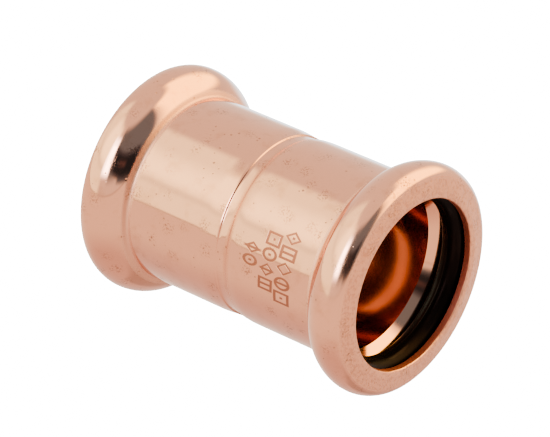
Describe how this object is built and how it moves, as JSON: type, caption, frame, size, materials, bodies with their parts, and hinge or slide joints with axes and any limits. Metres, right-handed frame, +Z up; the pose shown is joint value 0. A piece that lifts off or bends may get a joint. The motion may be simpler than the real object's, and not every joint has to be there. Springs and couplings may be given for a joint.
{
  "type": "press-fit tube coupling",
  "caption": "Straight copper press coupling that joins plain tube ends, with a rolled stop groove round its middle and a black O-ring inside the bead at each mouth.",
  "frame": {"origin": "middle of the coupling, on its axis", "axes": "+X along the coupling's axis towards one mouth, +Z up with the coupling lying on its two beads"},
  "size_m": [0.0434, 0.0308, 0.0308],
  "materials": {
    "copper": "polished copper, lightly satin",
    "seal_rubber": "smooth moulded EPDM rubber, lightly greased"
  },
  "bodies": {
    "root": {"coupling_body": "copper", "o_ring_right": "seal_rubber", "o_ring_left": "seal_rubber"}
  },
  "joints": []
}
